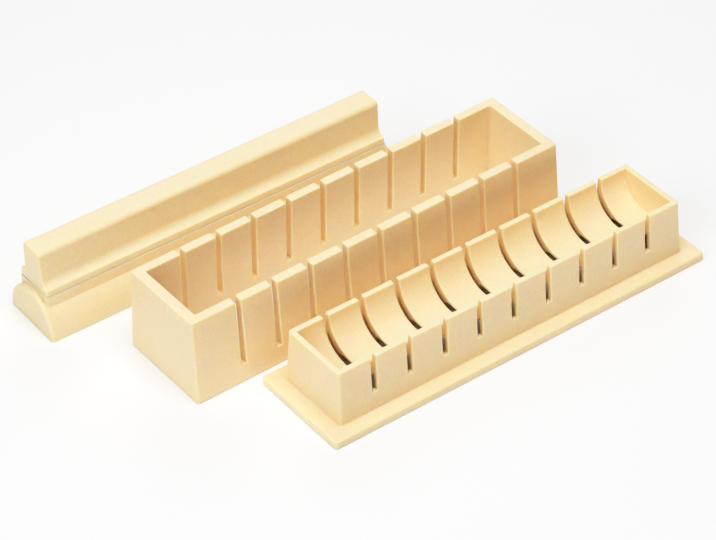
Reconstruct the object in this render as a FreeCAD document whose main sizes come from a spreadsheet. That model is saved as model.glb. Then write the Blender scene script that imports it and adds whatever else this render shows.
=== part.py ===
import FreeCAD, Part
import math
import os
import Sketcher

# Long rice-roll mould, laid out as three units side by side on a table:
#   base tray (front), slotted frame (middle), hand presser (back).
# +X runs along the units, +Y away from the front, +Z up, table at z = 0, millimetres.
# The origin is the middle of the row's footprint, on the table.

os.makedirs("parts", exist_ok=True)
doc = FreeCAD.newDocument("rice_roll_mould")

# ---------------------------------------------------------------- driving dimensions
DIMS = [
    # shared
    ("slot_pitch", 20.0), ("slot_count", 9), ("slot_w", 3.0), ("slot_edge", 0.5),
    # base tray: flange
    ("flange_len", 217.0), ("flange_wid", 57.4), ("flange_thk", 4.2),
    ("flange_corner", 1.6), ("flange_edge", 0.9),
    # base tray: block with drafted walls, given at the flange top and at the rim
    ("block_len_low", 200.8), ("block_wid_low", 41.9),
    ("block_len_top", 198.6), ("block_wid_top", 38.3), ("base_ht", 33.2),
    ("block_corner", 1.4), ("block_foot", 0.6),
    # base tray: trough and the hollow under it
    ("trough_rad", 16.2), ("trough_len", 193.0), ("base_wall", 2.4),
    ("trough_shell", 20.5), ("shell_top", 26.2),
    ("relief_wid", 16.0), ("relief_top", 15.7), ("base_slot_floor", 13.8), ("hollow_top", 26.0),
    # frame: outer and inner outlines at foot and top
    ("frame_len_low", 213.3), ("frame_wid_low", 53.9),
    ("frame_len_top", 211.5), ("frame_wid_top", 48.6), ("frame_ht", 45.5),
    ("bore_len_low", 202.3), ("bore_wid_low", 42.6),
    ("bore_len_top", 200.7), ("bore_wid_top", 38.8),
    ("frame_corner", 1.1), ("frame_edge", 0.6), ("bore_corner", 0.9), ("bore_edge", 0.7),
    ("frame_slot_floor", 9.7),
    # presser: half-round shoe
    ("shoe_len", 199.7), ("shoe_rad", 18.4), ("shoe_rise", 1.1), ("shoe_edge", 1.3),
    ("groove_rad", 16.3), ("groove_len", 195.3),
    # presser: plinth on the shoe, lip of the handle, bar
    ("lip_len", 193.4), ("lip_wid", 23.0), ("part_ht", 20.9), ("lip_top", 24.8),
    ("plinth_step", 0.35), ("plinth_edge", 0.25),
    ("rib_wid", 18.0), ("rib_len", 188.4), ("rib_thk", 1.5), ("rib_ht", 1.2),
    ("bar_wid_low", 14.6), ("bar_wid_top", 13.6), ("bar_top", 43.5),
    ("bar_edge", 2.3), ("lip_corner", 1.0), ("shell", 2.2),
    # where the three units stand
    ("base_x", 29.5), ("base_y", -59.9), ("base_yaw", -0.6),
    ("frame_x", -3.3), ("frame_y", 2.6), ("frame_yaw", 0.0),
    ("press_x", -38.0), ("press_y", 69.3), ("press_yaw", -1.2),
]
sheet = doc.addObject("Spreadsheet::Sheet", "dims")
for i, (alias, value) in enumerate(DIMS, start=1):
    sheet.set("A%d" % i, alias)
    sheet.set("B%d" % i, str(value))
    sheet.setAlias("B%d" % i, alias)
doc.recompute()
V = dict(DIMS)


# ---------------------------------------------------------------- helpers
def origin_feature(body, role):
    for f in body.Origin.OriginFeatures:
        if f.Role == role:
            return f
    raise RuntimeError("no " + role)


def new_body(label):
    body = doc.addObject("PartDesign::Body", label)
    body.Label = label
    return body


def new_sketch(body, name, role, offset_expr=None):
    sk = body.newObject("Sketcher::SketchObject", name)
    sk.AttachmentSupport = [(origin_feature(body, role), "")]
    sk.MapMode = "FlatFace"
    if offset_expr:
        sk.setExpression("AttachmentOffset.Base.z", offset_expr)
    return sk


def named(sk, name, constraint, expr):
    idx = sk.addConstraint(constraint)
    sk.renameConstraint(idx, name)
    sk.setExpression("Constraints." + name, expr)
    return idx


def rectangle(sk, w, l, w_expr, l_expr, first=0):
    """Rectangle centred on the sketch origin: l along sketch x, w along sketch y."""
    a, b = l / 2.0, w / 2.0
    pts = [(-a, -b), (a, -b), (a, b), (-a, b)]
    for k in range(4):
        p, q = pts[k], pts[(k + 1) % 4]
        sk.addGeometry(Part.LineSegment(FreeCAD.Vector(p[0], p[1], 0),
                                        FreeCAD.Vector(q[0], q[1], 0)), False)
    for k in range(4):
        sk.addConstraint(Sketcher.Constraint("Coincident", first + k, 2, first + (k + 1) % 4, 1))
    sk.addConstraint(Sketcher.Constraint("Horizontal", first + 0))
    sk.addConstraint(Sketcher.Constraint("Horizontal", first + 2))
    sk.addConstraint(Sketcher.Constraint("Vertical", first + 1))
    sk.addConstraint(Sketcher.Constraint("Vertical", first + 3))
    sk.addConstraint(Sketcher.Constraint("Symmetric", first + 0, 1, first + 2, 1, -1, 1))
    named(sk, "len%d" % first, Sketcher.Constraint("DistanceX", first + 0, 1, first + 0, 2, l), l_expr)
    named(sk, "wid%d" % first, Sketcher.Constraint("DistanceY", first + 1, 1, first + 1, 2, w), w_expr)


def polyline(sk, pts, exprs):
    """Closed outline; every corner is held by an x and a y dimension with its own formula."""
    n = len(pts)
    for k in range(n):
        p, q = pts[k], pts[(k + 1) % n]
        sk.addGeometry(Part.LineSegment(FreeCAD.Vector(p[0], p[1], 0),
                                        FreeCAD.Vector(q[0], q[1], 0)), False)
    for k in range(n):
        sk.addConstraint(Sketcher.Constraint("Coincident", k, 2, (k + 1) % n, 1))
    for k in range(n):
        hold_point(sk, k, 1, pts[k], exprs[k], "p%d" % k)


def hold_point(sk, geo, end, p, ex, tag):
    for axis, kind, val in (("x", "DistanceX", p[0]), ("y", "DistanceY", p[1])):
        e = ex[0] if axis == "x" else ex[1]
        if e == "0":
            # on the axis
            sk.addConstraint(Sketcher.Constraint("PointOnObject", geo, end, -2 if axis == "x" else -1))
        elif e.startswith("-"):
            named(sk, tag + axis, Sketcher.Constraint(kind, geo, end, -1, 1, -val), e[1:])
        else:
            named(sk, tag + axis, Sketcher.Constraint(kind, -1, 1, geo, end, val), e)


def arc_ccw(sk, centre, radius, a0, a1):
    """Arc run anticlockwise from a0 to a1 degrees; end 1 is at a0 and end 2 at a1."""
    circle = Part.Circle(FreeCAD.Vector(centre[0], centre[1], 0), FreeCAD.Vector(0, 0, 1), radius)
    return sk.addGeometry(Part.ArcOfCircle(circle, math.radians(a0), math.radians(a1)), False)


def edges_where(shape, test):
    return ["Edge%d" % (i + 1) for i, e in enumerate(shape.Edges) if test(e)]


def fillet(body, name, base, names, radius_expr):
    if not names:
        raise RuntimeError("no edges for " + name)
    f = body.newObject("PartDesign::Fillet", name)
    f.Base = (base, names)
    f.setExpression("Radius", radius_expr)
    doc.recompute()
    if f.Shape.isNull() or "Invalid" in f.State or "Error" in f.State or not f.Shape.isValid():
        raise RuntimeError("fillet %s failed on %s" % (name, names))
    return f


def solved(*sketches):
    doc.recompute()
    for sk in sketches:
        r = sk.solve()
        if r != 0:
            raise RuntimeError("sketch %s does not solve: %d" % (sk.Name, r))


def check_cut(before, after, what, least):
    gone = before.Volume - after.Volume
    print("%s takes away %.1f mm3" % (what, gone))
    if gone < least:
        raise RuntimeError(what + " cut nothing")


def is_vertical(e, tol=0.35):
    if len(e.Vertexes) < 2:
        return False
    d = e.Vertexes[-1].Point - e.Vertexes[0].Point
    if abs(e.Length - d.Length) > 0.01:
        return False
    return abs(d.z) > 3.0 and math.hypot(d.x, d.y) < tol * abs(d.z)


def drafted_block(body, kind, name, z_expr, ht_expr, low, top):
    """Block with drafted sides: low and top are (length, width) formulas of its two outlines."""
    w = body.newObject("PartDesign::" + kind, name)
    w.AttachmentSupport = [(origin_feature(body, "XY_Plane"), "")]
    w.MapMode = "FlatFace"
    w.AttachmentOffset = FreeCAD.Placement(FreeCAD.Vector(0, 0, 0),
                                           FreeCAD.Rotation(FreeCAD.Vector(1, 0, 0), 90))
    w.setExpression("AttachmentOffset.Base.z", z_expr)
    w.setExpression("Ymin", "0 mm")
    w.setExpression("Ymax", ht_expr)
    for pre, (l, b) in (("", low), ("2", top)):
        w.setExpression("X%smin" % pre, "-(%s) / 2" % l)
        w.setExpression("X%smax" % pre, "(%s) / 2" % l)
        w.setExpression("Z%smin" % pre, "-(%s) / 2" % b)
        w.setExpression("Z%smax" % pre, "(%s) / 2" % b)
    doc.recompute()
    if w.Shape.isNull() or not w.Shape.isValid():
        raise RuntimeError("%s failed" % name)
    return w


def all_at_z(e, z, tol=0.02):
    return abs(e.BoundBox.ZMin - z) < tol and abs(e.BoundBox.ZMax - z) < tol


# Knife slot outline in the XZ plane: straight sides and a flat floor, run out past the top edge.
# It is drawn at the slot nearest the left end, and repeated along X.
def slot_sketch(body, name, floor_expr, top_expr, floor, top):
    sk = new_sketch(body, name, "XZ_Plane")
    w, c = V["slot_w"] / 2.0, -V["slot_pitch"] * (V["slot_count"] - 1) / 2.0
    over = 4.0
    ctr = "dims.slot_pitch * (dims.slot_count - 1) / 2"
    left, right = "-(%s + dims.slot_w / 2)" % ctr, "-(%s - dims.slot_w / 2)" % ctr
    past = top_expr + " + %g" % over
    polyline(sk, [(c - w, floor), (c + w, floor), (c + w, top + over), (c - w, top + over)],
             [(left, floor_expr), (right, floor_expr), (right, past), (left, past)])
    return sk


def cut_slots(body, prefix, base, floor_expr, top_expr, floor, top, across_expr, across):
    sk = slot_sketch(body, prefix + "_slot_profile", floor_expr, top_expr, floor, top)
    doc.recompute()
    pocket = body.newObject("PartDesign::Pocket", prefix + "_slot")
    pocket.Profile = sk
    pocket.SideType = "Symmetric"
    pocket.Type = "Length"
    pocket.setExpression("Length", across_expr)
    doc.recompute()
    check_cut(base.Shape, pocket.Shape, prefix + " first slot", 50.0)
    pat = body.newObject("PartDesign::LinearPattern", prefix + "_slots")
    pat.Originals = [pocket]
    pat.Direction = (origin_feature(body, "X_Axis"), [""])
    pat.Mode = "Extent"
    pat.setExpression("Length", "dims.slot_pitch * (dims.slot_count - 1)")
    pat.setExpression("Occurrences", "dims.slot_count")
    body.Tip = pat
    doc.recompute()
    check_cut(base.Shape, pat.Shape, prefix + " all slots", 8 * (base.Shape.Volume - pocket.Shape.Volume))
    return pat


def in_slot_row(e):
    """True for an edge that stands at one of the knife slots, well away from the ends."""
    return abs(e.BoundBox.Center.x) < V["slot_pitch"] * (V["slot_count"] - 1) / 2 + V["slot_w"]


def round_slots(body, prefix, pat, top, extra=lambda e: False):
    """One radius round the top of the walls, down both sides of every slot, outside and inside."""
    names = edges_where(pat.Shape, lambda e: all_at_z(e, top) or extra(e)
                        or (is_vertical(e) and in_slot_row(e) and e.BoundBox.ZMax > top - 0.1
                            and abs(e.BoundBox.ZMax - e.BoundBox.ZMin) > 10))
    f = fillet(body, prefix + "_soft_edges", pat, names, "dims.slot_edge")
    body.Tip = f
    doc.recompute()
    return f


# ================================================================ base tray
base = new_body("base_tray")
sk = new_sketch(base, "flange_outline", "XY_Plane")
rectangle(sk, V["flange_wid"], V["flange_len"], "dims.flange_wid", "dims.flange_len")
doc.recompute()
flange = base.newObject("PartDesign::Pad", "flange")
flange.Profile = sk
flange.setExpression("Length", "dims.flange_thk")
doc.recompute()
corners = fillet(base, "flange_corners", flange, edges_where(flange.Shape, lambda e: is_vertical(e)),
                 "dims.flange_corner")
rim = fillet(base, "flange_top_edge", corners,
             edges_where(corners.Shape, lambda e: all_at_z(e, V["flange_thk"])), "dims.flange_edge")

block = drafted_block(base, "AdditiveWedge", "block", "dims.flange_thk", "dims.base_ht - dims.flange_thk",
                      ("dims.block_len_low", "dims.block_wid_low"),
                      ("dims.block_len_top", "dims.block_wid_top"))
lim_x = V["block_len_top"] / 2 - 2.0
verts = edges_where(block.Shape, lambda e: is_vertical(e) and e.BoundBox.ZMax > V["flange_thk"] + 5
                    and abs(e.BoundBox.Center.x) > lim_x)
b1 = fillet(base, "block_corners", block, verts, "dims.block_corner")
foot = edges_where(b1.Shape, lambda e: all_at_z(e, V["flange_thk"])
                   and abs(e.BoundBox.Center.y) < V["block_wid_low"] / 2 + 0.5
                   and e.BoundBox.XMax < V["block_len_low"] / 2 + 0.5
                   and e.BoundBox.XMin > -V["block_len_low"] / 2 - 0.5)
b3 = fillet(base, "block_foot_radius", b1, foot, "dims.block_foot")

# hollow under the block, open at the table
draft_l = "(dims.block_len_low - dims.block_len_top) / (dims.base_ht - dims.flange_thk)"
draft_w = "(dims.block_wid_low - dims.block_wid_top) / (dims.base_ht - dims.flange_thk)"
hollow = drafted_block(
    base, "SubtractiveWedge", "hollow", "0 mm", "dims.hollow_top",
    ("dims.block_len_low + %s * dims.flange_thk - 2 * dims.base_wall" % draft_l,
     "dims.block_wid_low + %s * dims.flange_thk - 2 * dims.base_wall" % draft_w),
    ("dims.block_len_low - %s * (dims.hollow_top - dims.flange_thk) - 2 * dims.base_wall" % draft_l,
     "dims.block_wid_low - %s * (dims.hollow_top - dims.flange_thk) - 2 * dims.base_wall" % draft_w))
check_cut(b3.Shape, hollow.Shape, "base hollow", 50000)


def half_disc(sk, rad, rad_expr, z_expr, z, rise=0.0, rise_expr=None):
    """Half disc in the YZ plane. With no rise it hangs below its flat side, which is at height z.
    With a rise it stands on its flat side and short straight sides lift the arc by the rise."""
    V2 = FreeCAD.Vector
    if rise <= 0:
        sk.addGeometry(Part.LineSegment(V2(-rad, z, 0), V2(rad, z, 0)), False)
        arc_ccw(sk, (0, z), rad, 180, 360)
        sk.addConstraint(Sketcher.Constraint("Coincident", 0, 1, 1, 1))
        sk.addConstraint(Sketcher.Constraint("Coincident", 0, 2, 1, 2))
        sk.addConstraint(Sketcher.Constraint("Horizontal", 0))
        sk.addConstraint(Sketcher.Constraint("PointOnObject", 1, 3, -2))
        sk.addConstraint(Sketcher.Constraint("PointOnObject", 1, 3, 0))
        named(sk, "arc_radius", Sketcher.Constraint("Radius", 1, rad), rad_expr)
        named(sk, "flat_height", Sketcher.Constraint("DistanceY", -1, 1, 1, 3, z), z_expr)
        return
    zb = z
    zc = z + rise
    sk.addGeometry(Part.LineSegment(V2(-rad, zb, 0), V2(rad, zb, 0)), False)          # 0
    sk.addGeometry(Part.LineSegment(V2(rad, zb, 0), V2(rad, zc, 0)), False)           # 1
    arc_ccw(sk, (0, zc), rad, 0, 180)                                                 # 2
    sk.addGeometry(Part.LineSegment(V2(-rad, zc, 0), V2(-rad, zb, 0)), False)         # 3
    sk.addConstraint(Sketcher.Constraint("Coincident", 0, 2, 1, 1))
    sk.addConstraint(Sketcher.Constraint("Coincident", 1, 2, 2, 1))
    sk.addConstraint(Sketcher.Constraint("Coincident", 3, 1, 2, 2))
    sk.addConstraint(Sketcher.Constraint("Coincident", 3, 2, 0, 1))
    sk.addConstraint(Sketcher.Constraint("Vertical", 1))
    sk.addConstraint(Sketcher.Constraint("Vertical", 3))
    sk.addConstraint(Sketcher.Constraint("Symmetric", 0, 1, 0, 2, -2))
    sk.addConstraint(Sketcher.Constraint("Horizontal", 1, 2, 3, 1))
    sk.addConstraint(Sketcher.Constraint("Horizontal", 1, 2, 2, 3))
    named(sk, "half_width", Sketcher.Constraint("DistanceX", -1, 1, 0, 2, rad), rad_expr)
    named(sk, "arc_height", Sketcher.Constraint("DistanceY", -1, 1, 1, 2, zc), rise_expr)
    if z_expr == "0":
        sk.addConstraint(Sketcher.Constraint("PointOnObject", 0, 2, -1))
    else:
        named(sk, "foot_height", Sketcher.Constraint("DistanceY", 0, 2, -1, 1, -zb), z_expr)


# thick trough wall: a segment of a disc about the trough's axis, below the solid top of the block
t0 = new_sketch(base, "trough_shell_profile", "YZ_Plane")
drop = V["base_ht"] - V["shell_top"]
half = math.sqrt(V["trough_shell"] ** 2 - drop ** 2)
dip = math.degrees(math.asin(drop / V["trough_shell"]))
t0.addGeometry(Part.LineSegment(FreeCAD.Vector(-half, V["shell_top"], 0),
                                FreeCAD.Vector(half, V["shell_top"], 0)), False)
arc_ccw(t0, (0, V["base_ht"]), V["trough_shell"], 180 + dip, 360 - dip)
t0.addConstraint(Sketcher.Constraint("Coincident", 0, 1, 1, 1))
t0.addConstraint(Sketcher.Constraint("Coincident", 0, 2, 1, 2))
t0.addConstraint(Sketcher.Constraint("Horizontal", 0))
t0.addConstraint(Sketcher.Constraint("PointOnObject", 1, 3, -2))
named(t0, "arc_radius", Sketcher.Constraint("Radius", 1, V["trough_shell"]), "dims.trough_shell")
named(t0, "axis_height", Sketcher.Constraint("DistanceY", -1, 1, 1, 3, V["base_ht"]), "dims.base_ht")
named(t0, "top_height", Sketcher.Constraint("DistanceY", -1, 1, 0, 1, V["shell_top"]), "dims.shell_top")
solved(t0)
shell = base.newObject("PartDesign::Pad", "trough_shell")
shell.Profile = t0
shell.SideType = "Symmetric"
shell.setExpression("Length", "dims.block_len_top - 1.4 * dims.base_wall")
doc.recompute()
if shell.Shape.Volume < hollow.Shape.Volume + 10000:
    raise RuntimeError("trough shell added nothing")
# relief along the underside of the trough: its floor is thin there, and the slots run through
under = drafted_block(
    base, "SubtractiveWedge", "trough_relief", "0 mm", "dims.relief_top",
    ("dims.trough_len + 1.6", "dims.relief_wid + 0.6"), ("dims.trough_len + 1.6", "dims.relief_wid"))
check_cut(shell.Shape, under.Shape, "trough relief", 500)
t1 = new_sketch(base, "trough_profile", "YZ_Plane")
half_disc(t1, V["trough_rad"], "dims.trough_rad", "dims.base_ht", V["base_ht"])
doc.recompute()
trough = base.newObject("PartDesign::Pocket", "trough")
trough.Profile = t1
trough.SideType = "Symmetric"
trough.Type = "Length"
trough.setExpression("Length", "dims.trough_len")
doc.recompute()
check_cut(under.Shape, trough.Shape, "trough", 60000)
base_slots = cut_slots(base, "base", trough, "dims.base_slot_floor", "dims.base_ht",
                       V["base_slot_floor"], V["base_ht"], "dims.flange_wid + 6", V["flange_wid"] + 6)


def along_trough(e):
    """Edge where a slot side breaks out into the trough."""
    box = e.BoundBox
    return (box.XLength < 0.01 and in_slot_row(e) and abs(box.YLength - 2 * V["trough_rad"]) < 0.1
            and abs(box.ZMin - (V["base_ht"] - V["trough_rad"])) < 0.05)


base_tip = round_slots(base, "base", base_slots, V["base_ht"], along_trough)

# ================================================================ slotted frame
frame = new_body("slotted_frame")
walls = drafted_block(frame, "AdditiveWedge", "walls", "0 mm", "dims.frame_ht",
                      ("dims.frame_len_low", "dims.frame_wid_low"),
                      ("dims.frame_len_top", "dims.frame_wid_top"))
w1 = fillet(frame, "outer_corners", walls, edges_where(walls.Shape, is_vertical), "dims.frame_corner")
w2 = fillet(frame, "outer_edges", w1,
            edges_where(w1.Shape, lambda e: all_at_z(e, 0.0)), "dims.frame_edge")
bore = drafted_block(frame, "SubtractiveWedge", "rice_chamber", "0 mm", "dims.frame_ht",
                     ("dims.bore_len_low", "dims.bore_wid_low"),
                     ("dims.bore_len_top", "dims.bore_wid_top"))
check_cut(w2.Shape, bore.Shape, "rice chamber", 300000)
w3 = fillet(frame, "chamber_corners", bore, edges_where(
    bore.Shape, lambda e: is_vertical(e) and abs(e.BoundBox.Center.y) < V["bore_wid_low"] / 2 + 0.3
    and abs(e.BoundBox.Center.x) < V["bore_len_low"] / 2 + 0.3), "dims.bore_corner")
w4 = fillet(frame, "chamber_edges", w3, edges_where(
    w3.Shape, lambda e: all_at_z(e, 0.0) and abs(e.BoundBox.Center.y) < V["bore_wid_low"] / 2 + 0.2
    and e.BoundBox.XMax < V["bore_len_low"] / 2 + 0.2
    and e.BoundBox.XMin > -V["bore_len_low"] / 2 - 0.2), "dims.bore_edge")
frame_slots = cut_slots(frame, "frame", w4, "dims.frame_slot_floor", "dims.frame_ht",
                        V["frame_slot_floor"], V["frame_ht"], "dims.frame_wid_low + 6",
                        V["frame_wid_low"] + 6)
frame_tip = round_slots(frame, "frame", frame_slots, V["frame_ht"])

# ================================================================ pressing shoe
shoe = new_body("press_shoe")
p0 = new_sketch(shoe, "arch_profile", "YZ_Plane")
half_disc(p0, V["shoe_rad"], "dims.shoe_rad", "0", 0.0, V["shoe_rise"], "dims.shoe_rise")
doc.recompute()
arch = shoe.newObject("PartDesign::Pad", "arch")
arch.Profile = p0
arch.SideType = "Symmetric"
arch.setExpression("Length", "dims.shoe_len")
doc.recompute()
a1 = fillet(shoe, "arch_end_edges", arch, edges_where(
    arch.Shape, lambda e: abs(abs(e.BoundBox.Center.x) - V["shoe_len"] / 2) < 0.01
    and e.BoundBox.ZMax > 0.5), "dims.shoe_edge")
p1 = new_sketch(shoe, "plinth_outline", "XY_Plane", "dims.shoe_rise + dims.groove_rad * 0.5")
rectangle(p1, V["lip_wid"] + 2 * V["plinth_step"], V["lip_len"] + 2 * V["plinth_step"],
          "dims.lip_wid + 2 * dims.plinth_step", "dims.lip_len + 2 * dims.plinth_step")
doc.recompute()
plinth = shoe.newObject("PartDesign::Pad", "plinth")
plinth.Profile = p1
plinth.setExpression("Length", "dims.part_ht - dims.shoe_rise - dims.groove_rad * 0.5")
doc.recompute()
pc = fillet(shoe, "plinth_corners", plinth, edges_where(
    plinth.Shape, lambda e: is_vertical(e) and e.BoundBox.ZMax > V["part_ht"] - 0.1
    and abs(abs(e.BoundBox.Center.y) - V["lip_wid"] / 2 - V["plinth_step"]) < 0.1), "dims.lip_corner")
pe = fillet(shoe, "plinth_top_edge", pc, edges_where(
    pc.Shape, lambda e: all_at_z(e, V["part_ht"])), "dims.plinth_edge")
# low rib on the plinth that locates the handle
p2 = new_sketch(shoe, "rib_outline", "XY_Plane", "dims.part_ht")
rectangle(p2, V["rib_wid"], V["rib_len"], "dims.rib_wid", "dims.rib_len")
rectangle(p2, V["rib_wid"] - 2 * V["rib_thk"], V["rib_len"] - 2 * V["rib_thk"],
          "dims.rib_wid - 2 * dims.rib_thk", "dims.rib_len - 2 * dims.rib_thk", first=4)
doc.recompute()
rib = shoe.newObject("PartDesign::Pad", "locating_rib")
rib.Profile = p2
rib.setExpression("Length", "dims.rib_ht")
doc.recompute()
p3 = new_sketch(shoe, "groove_profile", "YZ_Plane")
half_disc(p3, V["groove_rad"], "dims.groove_rad", "2", -2.0, V["shoe_rise"] + 2.0, "dims.shoe_rise")
doc.recompute()
groove = shoe.newObject("PartDesign::Pocket", "pressing_groove")
groove.Profile = p3
groove.SideType = "Symmetric"
groove.Type = "Length"
groove.setExpression("Length", "dims.groove_len")
shoe.Tip = groove
doc.recompute()
check_cut(rib.Shape, groove.Shape, "pressing groove", 60000)

# ================================================================ handle
handle = new_body("press_handle")
q0 = new_sketch(handle, "grip_profile", "YZ_Plane")
lw, bl, bt = V["lip_wid"] / 2, V["bar_wid_low"] / 2, V["bar_wid_top"] / 2
z0, z1, z3 = V["part_ht"], V["lip_top"], V["bar_top"]
V2 = FreeCAD.Vector
seg = lambda p, q: Part.LineSegment(V2(p[0], p[1], 0), V2(q[0], q[1], 0))
# concave quarter round from the flat of the lip up to the foot of the bar
fr = lw - bl
z2 = z1 + fr
q0.addGeometry(seg((-lw, z0), (lw, z0)), False)                                                # 0
q0.addGeometry(seg((lw, z0), (lw, z1)), False)                                                 # 1
arc_ccw(q0, (lw, z2), fr, 180, 270)                                                            # 2
q0.addGeometry(seg((bl, z2), (bt, z3)), False)                                                 # 3
q0.addGeometry(seg((bt, z3), (-bt, z3)), False)                                                # 4
q0.addGeometry(seg((-bt, z3), (-bl, z2)), False)                                               # 5
arc_ccw(q0, (-lw, z2), fr, 270, 360)                                                           # 6
q0.addGeometry(seg((-lw, z1), (-lw, z0)), False)                                               # 7


FLARE = "dims.lip_top + (dims.lip_wid - dims.bar_wid_low) / 2"
for g, e, k, f in ((0, 2, 1, 1), (1, 2, 2, 2), (2, 1, 3, 1), (3, 2, 4, 1), (4, 2, 5, 1), (5, 2, 6, 2),
                   (6, 1, 7, 1), (7, 2, 0, 1)):
    q0.addConstraint(Sketcher.Constraint("Coincident", g, e, k, f))
hold_point(q0, 0, 1, (-lw, z0), ("-dims.lip_wid / 2", "dims.part_ht"), "a")
hold_point(q0, 0, 2, (lw, z0), ("dims.lip_wid / 2", "dims.part_ht"), "b")
hold_point(q0, 1, 2, (lw, z1), ("dims.lip_wid / 2", "dims.lip_top"), "c")
hold_point(q0, 3, 1, (bl, z2), ("dims.bar_wid_low / 2", FLARE), "d")
hold_point(q0, 3, 2, (bt, z3), ("dims.bar_wid_top / 2", "dims.bar_top"), "e")
hold_point(q0, 4, 2, (-bt, z3), ("-dims.bar_wid_top / 2", "dims.bar_top"), "f")
hold_point(q0, 5, 2, (-bl, z2), ("-dims.bar_wid_low / 2", FLARE), "g")
hold_point(q0, 7, 1, (-lw, z1), ("-dims.lip_wid / 2", "dims.lip_top"), "i")
q0.addConstraint(Sketcher.Constraint("Vertical", 2, 3, 1, 2))
q0.addConstraint(Sketcher.Constraint("Vertical", 6, 3, 7, 1))
solved(q0)
doc.recompute()
grip = handle.newObject("PartDesign::Pad", "grip")
grip.Profile = q0
grip.SideType = "Symmetric"
grip.setExpression("Length", "dims.lip_len")
doc.recompute()
top_edges = edges_where(grip.Shape, lambda e: all_at_z(e, V["bar_top"])
                        and e.BoundBox.XLength > V["lip_len"] - 1)
k1 = fillet(handle, "grip_top_edges", grip, top_edges, "dims.bar_edge")
k1 = fillet(handle, "lip_top_edges", k1, edges_where(
    k1.Shape, lambda e: all_at_z(e, V["lip_top"]) and e.BoundBox.XLength > V["lip_len"] - 1), "0.45 mm")
end_edges = edges_where(k1.Shape, lambda e: abs(abs(e.BoundBox.Center.x) - V["lip_len"] / 2) < 0.01
                        and e.BoundBox.ZMin > V["part_ht"] - 0.01
                        and not all_at_z(e, V["part_ht"]))
k2 = fillet(handle, "grip_end_edges", k1, end_edges, "dims.lip_corner * 0.9")
# hollow inside of the handle, open at the parting face
q1 = new_sketch(handle, "grip_core_profile", "YZ_Plane")
ci, cm, ct = lw - V["shell"], bl - V["shell"], bt - V["shell"]
core = [(-ci, z0), (ci, z0), (ci, z0 + 1.5), (cm, z2 - 0.6), (ct, z3 - V["shell"] - 0.4),
        (-ct, z3 - V["shell"] - 0.4), (-cm, z2 - 0.6), (-ci, z0 + 1.5)]
ex_i, ex_m, ex_t = ("dims.lip_wid / 2 - dims.shell", "dims.bar_wid_low / 2 - dims.shell",
                    "dims.bar_wid_top / 2 - dims.shell")
polyline(q1, core, [("-(%s)" % ex_i, "dims.part_ht"), (ex_i, "dims.part_ht"),
                    (ex_i, "dims.part_ht + 1.5"), (ex_m, FLARE + " - 0.6"),
                    (ex_t, "dims.bar_top - dims.shell - 0.4"),
                    ("-(%s)" % ex_t, "dims.bar_top - dims.shell - 0.4"),
                    ("-(%s)" % ex_m, FLARE + " - 0.6"), ("-(%s)" % ex_i, "dims.part_ht + 1.5")])
doc.recompute()
corepk = handle.newObject("PartDesign::Pocket", "grip_core")
corepk.Profile = q1
corepk.SideType = "Symmetric"
corepk.Type = "Length"
corepk.setExpression("Length", "dims.lip_len - 2 * dims.shell")
handle.Tip = corepk
doc.recompute()
check_cut(k2.Shape, corepk.Shape, "grip core", 20000)

# ================================================================ where the units stand
PLACES = [(base, "base"), (frame, "frame"), (shoe, "press"), (handle, "press")]
for body, tag in PLACES:
    body.setExpression("Placement.Base.x", "dims.%s_x" % tag)
    body.setExpression("Placement.Base.y", "dims.%s_y" % tag)
    body.Placement = FreeCAD.Placement(FreeCAD.Vector(V[tag + "_x"], V[tag + "_y"], 0),
                                       FreeCAD.Rotation(FreeCAD.Vector(0, 0, 1), V[tag + "_yaw"]))
    body.setExpression("Placement.Rotation.Angle", "dims.%s_yaw * 1 deg" % tag)
doc.recompute()
for body, tag in PLACES:
    if body.Placement.Rotation.Axis.z < 0:
        want = -V[tag + "_yaw"]
    else:
        want = V[tag + "_yaw"]
    got = math.degrees(body.Placement.Rotation.Angle)
    print(body.Label, "yaw", round(got, 3), "axis", tuple(body.Placement.Rotation.Axis))

# ================================================================ checks before writing
bad = [o.Name for o in doc.Objects if any(s in ("Invalid", "Error") for s in o.State)]
if bad:
    raise RuntimeError("failed objects: %s" % bad)
solids = []
box = FreeCAD.BoundBox()
for body, tag in PLACES:
    shp = body.Shape
    if shp.isNull() or not shp.isValid() or len(shp.Solids) != 1:
        raise RuntimeError("%s is not one valid solid" % body.Label)
    print("%-14s volume %9.1f mm3  box %s" % (body.Label, shp.Volume, shp.BoundBox))
    box.add(shp.BoundBox)
    solids.append((body.Label, shp))
print("row box", box)

# the loose units must fit together as they are used
def moved(shape, dx, dy, dz, yaw, about):
    s = shape.copy()
    s.translate(FreeCAD.Vector(-about[0], -about[1], 0))
    s.rotate(FreeCAD.Vector(0, 0, 0), FreeCAD.Vector(0, 0, 1), -yaw)
    s.translate(FreeCAD.Vector(dx, dy, dz))
    return s


b_ = moved(base.Shape, 0, 0, 0, V["base_yaw"], (V["base_x"], V["base_y"]))
f_ = moved(frame.Shape, 0, 0, V["flange_thk"], V["frame_yaw"], (V["frame_x"], V["frame_y"]))
for lift in (0.0, 4.0):
    s_ = moved(shoe.Shape, 0, 0, V["base_ht"] + lift, V["press_yaw"], (V["press_x"], V["press_y"]))
    print("nested: frame/base %.4f  shoe/frame %.4f  shoe/base %.4f mm3" % (
        f_.common(b_).Volume, s_.common(f_).Volume, s_.common(b_).Volume))
    if f_.common(b_).Volume > 0.5 or s_.common(f_).Volume > 0.5 or s_.common(b_).Volume > 0.5:
        raise RuntimeError("units do not nest")

for label, shp in solids:
    shp.exportStep("parts/%s.step" % label)
print("written", [s[0] for s in solids])
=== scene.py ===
import math

import bpy
from mathutils import Matrix, Vector

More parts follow.
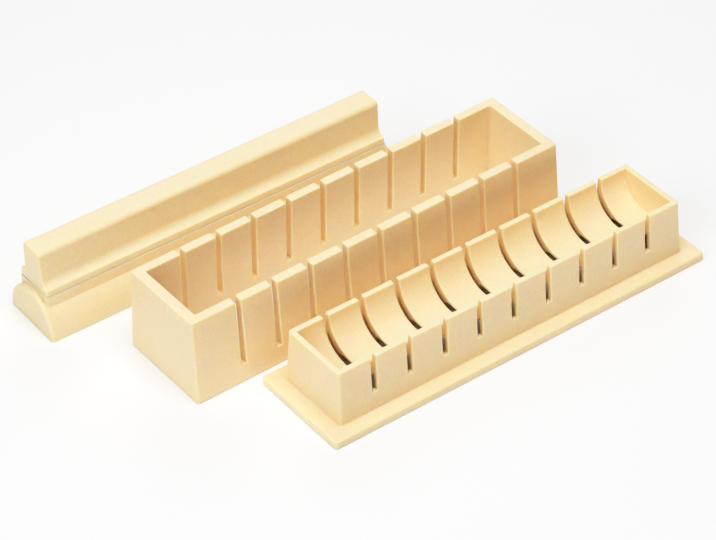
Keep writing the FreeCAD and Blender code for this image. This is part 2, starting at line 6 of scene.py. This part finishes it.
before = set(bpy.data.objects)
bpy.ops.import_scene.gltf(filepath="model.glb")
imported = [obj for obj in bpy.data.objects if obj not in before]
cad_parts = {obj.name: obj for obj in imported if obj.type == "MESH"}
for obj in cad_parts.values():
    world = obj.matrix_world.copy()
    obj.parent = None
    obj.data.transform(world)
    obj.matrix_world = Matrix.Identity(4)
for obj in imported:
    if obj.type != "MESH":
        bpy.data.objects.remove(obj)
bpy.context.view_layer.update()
scene = bpy.context.scene

# ------------------------------------------------------------------ where each unit lies
# centre (m) and turn (degrees) of each unit on the table, so that a finish runs along the unit itself
PLACES = {
    "base_tray": ((0.0295, -0.0599), -0.6),
    "slotted_frame": ((-0.0033, 0.0026), 0.0),
    "press_shoe": ((-0.0380, 0.0693), -1.2),
    "press_handle": ((-0.0380, 0.0693), -1.2),
}

# ------------------------------------------------------------------ camera
# a long lens from the front left, looking down
FOCAL_PX = 3120.63
TURN, TILT, ROLL = 0.6298, 0.6903, -0.0294
DISTANCE = 1.48398
TARGET = Vector((0.004475, 0.006973, 0.0))

ahead = Vector((math.sin(TURN) * math.cos(TILT), math.cos(TURN) * math.cos(TILT), -math.sin(TILT)))
side = Vector((math.cos(TURN), -math.sin(TURN), 0.0))
above = side.cross(ahead)
right = side * math.cos(ROLL) + above * math.sin(ROLL)
up = above * math.cos(ROLL) - side * math.sin(ROLL)
place = TARGET - ahead * DISTANCE

cam_data = bpy.data.cameras.new("camera")
cam_data.sensor_fit = "HORIZONTAL"
cam_data.sensor_width = 36.0
cam_data.lens = FOCAL_PX / 716.0 * 36.0
cam_data.clip_start = 0.01
cam_data.clip_end = 100.0
camera = bpy.data.objects.new("camera", cam_data)
scene.collection.objects.link(camera)
turn = Matrix((right, up, -ahead)).transposed()
camera.matrix_world = Matrix.Translation(place) @ turn.to_4x4()
scene.camera = camera


# ------------------------------------------------------------------ node helpers
class Graph:
    """A material's node tree, with short ways to add what the finishes need."""

    def __init__(self, name):
        self.material = bpy.data.materials.new(name)
        self.material.use_nodes = True
        self.tree = self.material.node_tree
        self.tree.nodes.clear()
        self.out = self.tree.nodes.new("ShaderNodeOutputMaterial")
        self.shader = self.tree.nodes.new("ShaderNodeBsdfPrincipled")
        self.join(self.shader.outputs["BSDF"], self.out.inputs["Surface"])

    def join(self, a, b):
        self.tree.links.new(a, b)

    def put(self, value, socket):
        if isinstance(value, bpy.types.NodeSocket):
            self.join(value, socket)
        else:
            socket.default_value = value

    def mapping(self, vector, location=(0, 0, 0), rotation=(0, 0, 0), scale=(1, 1, 1)):
        n = self.tree.nodes.new("ShaderNodeMapping")
        self.join(vector, n.inputs["Vector"])
        n.inputs["Location"].default_value = location
        n.inputs["Rotation"].default_value = rotation
        n.inputs["Scale"].default_value = scale
        return n.outputs["Vector"]

    def noise(self, vector, scale, detail=2.0, rough=0.5, distortion=0.0):
        n = self.tree.nodes.new("ShaderNodeTexNoise")
        self.join(vector, n.inputs["Vector"])
        n.inputs["Scale"].default_value = scale
        n.inputs["Detail"].default_value = detail
        n.inputs["Roughness"].default_value = rough
        n.inputs["Distortion"].default_value = distortion
        return n.outputs["Fac"]

    def ranged(self, value, a, b, c, d, kind="LINEAR"):
        n = self.tree.nodes.new("ShaderNodeMapRange")
        n.interpolation_type = kind
        self.join(value, n.inputs["Value"])
        n.inputs["From Min"].default_value = a
        n.inputs["From Max"].default_value = b
        n.inputs["To Min"].default_value = c
        n.inputs["To Max"].default_value = d
        return n.outputs["Result"]

    def math(self, kind, a, b=0.0, c=None, clamp=False):
        n = self.tree.nodes.new("ShaderNodeMath")
        n.operation = kind
        n.use_clamp = clamp
        self.put(a, n.inputs[0])
        self.put(b, n.inputs[1])
        if c is not None:
            self.put(c, n.inputs[2])
        return n.outputs[0]

    def mix(self, fac, a, b, kind="MIX"):
        n = self.tree.nodes.new("ShaderNodeMix")
        n.data_type = "RGBA"
        n.blend_type = kind
        self.put(fac, n.inputs[0])
        self.put(a, n.inputs[6])
        self.put(b, n.inputs[7])
        return n.outputs[2]

    def split(self, vector):
        n = self.tree.nodes.new("ShaderNodeSeparateXYZ")
        self.join(vector, n.inputs[0])
        return n.outputs

    def bump(self, height, distance, strength=1.0, normal=None):
        n = self.tree.nodes.new("ShaderNodeBump")
        n.inputs["Strength"].default_value = strength
        n.inputs["Distance"].default_value = distance
        self.join(height, n.inputs["Height"])
        if normal is not None:
            self.join(normal, n.inputs["Normal"])
        return n.outputs["Normal"]

    def edges(self, radius, samples=6):
        """1 on sharp outer and inner edges, 0 on flats: how far a rounded normal leaves the true one."""
        bevel = self.tree.nodes.new("ShaderNodeBevel")
        bevel.samples = samples
        bevel.inputs["Radius"].default_value = radius
        geo = self.tree.nodes.new("ShaderNodeNewGeometry")
        dot = self.tree.nodes.new("ShaderNodeVectorMath")
        dot.operation = "DOT_PRODUCT"
        self.join(bevel.outputs["Normal"], dot.inputs[0])
        self.join(geo.outputs["Normal"], dot.inputs[1])
        return self.ranged(dot.outputs["Value"], 1.0, 0.82, 0.0, 1.0)


# ------------------------------------------------------------------ the plastic
CREAM = (0.955, 0.722, 0.440, 1.0)
CREAM_DEEP = (0.950, 0.698, 0.408, 1.0)
CREAM_PALE = (0.960, 0.755, 0.505, 1.0)
BLUSH = (0.955, 0.690, 0.470, 1.0)
# paler edge colour: partly rubbed wear, partly a painted highlight on the edges
WORN_AND_HIGHLIGHT = (0.965, 0.800, 0.580, 1.0)


def plastic(name, node, seed):
    """Satin moulded plastic: cream with slow clouding and flow streaks along the unit, a spark-eroded grain,
    light handling scratches and edges rubbed a little smoother and paler, the paler edges partly wear and partly a
    painted highlight."""
    g = Graph(name)
    (cx, cy), yaw = PLACES[node]
    a = math.radians(-yaw)
    coord = g.tree.nodes.new("ShaderNodeTexCoord").outputs["Object"]
    local = g.mapping(
        coord,
        (-(cx * math.cos(a) - cy * math.sin(a)), -(cx * math.sin(a) + cy * math.cos(a)), 0.0),
        (0.0, 0.0, a),
    )
    shifted = g.mapping(local, (seed * 1.37, seed * 0.71, seed * 0.43))

    # colour
    cloud = g.noise(shifted, 16.0, 3.0, 0.55)
    streak = g.noise(g.mapping(shifted, scale=(7.0, 95.0, 95.0)), 1.0, 3.0, 0.6, 0.4)
    mottle = g.noise(shifted, 210.0, 3.0, 0.6)
    speck = g.noise(shifted, 950.0, 2.0, 0.7)
    colour = g.mix(g.ranged(cloud, 0.30, 0.70, 0.0, 1.0), CREAM_DEEP, CREAM)
    colour = g.mix(g.ranged(streak, 0.52, 0.80, 0.0, 0.45), colour, CREAM_PALE)
    colour = g.mix(g.ranged(mottle, 0.30, 0.70, 0.0, 0.50), colour, CREAM_PALE)
    colour = g.mix(g.ranged(g.noise(shifted, 150.0, 2.0, 0.5), 0.48, 0.72, 0.0, 0.45), colour, BLUSH)
    colour = g.mix(1.0, colour, g.ranged(speck, 0.30, 0.70, 0.935, 1.035), "MULTIPLY")
    # paler sharp edges, inner and outer: partly rubbed wear, partly a painted highlight
    edge = g.edges(0.0009)
    patchy = g.ranged(g.noise(shifted, 130.0, 3.0, 0.7), 0.35, 0.70, 0.25, 1.0)
    wear_and_highlight = g.math("MULTIPLY", edge, patchy)
    colour = g.mix(g.math("MULTIPLY", wear_and_highlight, 0.35), colour, WORN_AND_HIGHLIGHT)
    g.join(colour, g.shader.inputs["Base Color"])

    # scratches, two sets across each other
    fine = g.noise(g.mapping(shifted, rotation=(0.2, 0.1, 0.5), scale=(28.0, 1500.0, 1500.0)), 1.0, 2.0, 0.5, 0.15)
    cross = g.noise(g.mapping(shifted, rotation=(0.3, 0.2, -1.1), scale=(40.0, 1900.0, 1900.0)), 1.0, 2.0, 0.5, 0.1)
    lines = g.math("MAXIMUM", g.ranged(fine, 0.66, 0.74, 0.0, 1.0), g.ranged(cross, 0.68, 0.76, 0.0, 1.0))
    sparse = g.ranged(g.noise(shifted, 34.0, 2.0, 0.5), 0.50, 0.66, 0.0, 1.0)
    scratch = g.math("MULTIPLY", lines, sparse)

    # roughness
    rough = g.ranged(g.noise(shifted, 48.0, 3.0, 0.6), 0.25, 0.75, 0.36, 0.50)
    rough = g.math("SUBTRACT", rough, g.math("MULTIPLY", wear_and_highlight, 0.08))
    rough = g.math("ADD", rough, g.math("MULTIPLY", scratch, 0.16), clamp=True)
    g.join(rough, g.shader.inputs["Roughness"])

    # relief
    sink = g.noise(g.mapping(shifted, scale=(20.0, 38.0, 38.0)), 1.0, 1.0, 0.4)
    normal = g.bump(sink, 0.00045, 0.25)
    grain = g.noise(shifted, 1050.0, 3.0, 0.65)
    normal = g.bump(grain, 0.00004, 0.6, normal)
    normal = g.bump(g.math("SUBTRACT", 1.0, scratch), 0.00003, 0.5, normal)
    g.join(normal, g.shader.inputs["Normal"])

    g.shader.inputs["Subsurface Weight"].default_value = 1.0
    g.shader.inputs["Subsurface Radius"].default_value = (0.85, 0.80, 0.32)
    g.shader.inputs["Subsurface Scale"].default_value = 0.0030
    g.shader.inputs["IOR"].default_value = 1.50
    g.shader.inputs["Specular IOR Level"].default_value = 0.5
    return g.material


FINISHES = {
    "base_tray": plastic("tray_cream", "base_tray", 1.0),
    "slotted_frame": plastic("frame_cream", "slotted_frame", 2.0),
    "press_shoe": plastic("shoe_cream", "press_shoe", 3.0),
    "press_handle": plastic("handle_cream", "press_handle", 4.0),
}
for name, finish in FINISHES.items():
    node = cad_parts[name]
    for slot in node.material_slots:
        slot.material = finish

# ------------------------------------------------------------------ stage
bpy.ops.mesh.primitive_plane_add(size=24.0, location=(0.0, 0.0, -0.0001))
floor = bpy.context.object
floor.name = "studio_floor"
f = Graph("studio_floor")
f.shader.inputs["Base Color"].default_value = (0.95, 0.95, 0.95, 1.0)
f.shader.inputs["Roughness"].default_value = 0.5
f.shader.inputs["Specular IOR Level"].default_value = 0.5
floor.data.materials.append(f.material)

world = bpy.data.worlds.new("studio")
scene.world = world
world.use_nodes = True
world.node_tree.nodes["Background"].inputs["Color"].default_value = (1.0, 1.0, 1.0, 1.0)
world.node_tree.nodes["Background"].inputs["Strength"].default_value = 0.023


def soft_box(name, azimuth, height, size, power):
    """A square soft box 1.6 m from the middle of the row; azimuth from +X towards +Y, in degrees."""
    a, e = math.radians(azimuth), math.radians(height)
    at = Vector((math.cos(e) * math.cos(a), math.cos(e) * math.sin(a), math.sin(e))) * 1.6
    data = bpy.data.lights.new(name, "AREA")
    data.shape = "SQUARE"
    data.size = size
    data.energy = power
    o = bpy.data.objects.new(name, data)
    scene.collection.objects.link(o)
    o.location = at
    o.rotation_euler = (-at).to_track_quat("-Z", "Y").to_euler()
    return o


soft_box("overhead", 255, 82, 0.9, 13.0)
soft_box("key_left", 182, 35, 0.8, 2.5)
soft_box("key_left_front", 203, 35, 0.8, 4.9)
soft_box("high_left", 180, 60, 0.8, 0.8)
soft_box("fill_front", 270, 52, 0.9, 2.7)
soft_box("back_left", 135, 45, 0.9, 0.6)
soft_box("sheen_back_right", 54, 40, 0.9, 4.4)

# a film-like response: straight in the shadows, a soft shoulder, white paper at 0.90
FILM_WHITE = 0.90
view = scene.view_settings
view.view_transform = "Standard"
view.look = "None"
view.exposure = 0.0
view.gamma = 1.0
view.use_curve_mapping = True
curve = view.curve_mapping
curve.black_level = (0.0, 0.0, 0.0)
curve.white_level = (FILM_WHITE, FILM_WHITE, FILM_WHITE)


def film(x):
    return 1.0 - math.exp(-2.925 * x ** 1.445)


points = curve.curves[3].points
for x in (0.03, 0.07, 0.13, 0.21, 0.31, 0.43, 0.58, 0.77):
    points.new(x, film(x * FILM_WHITE) / film(FILM_WHITE))
curve.update()
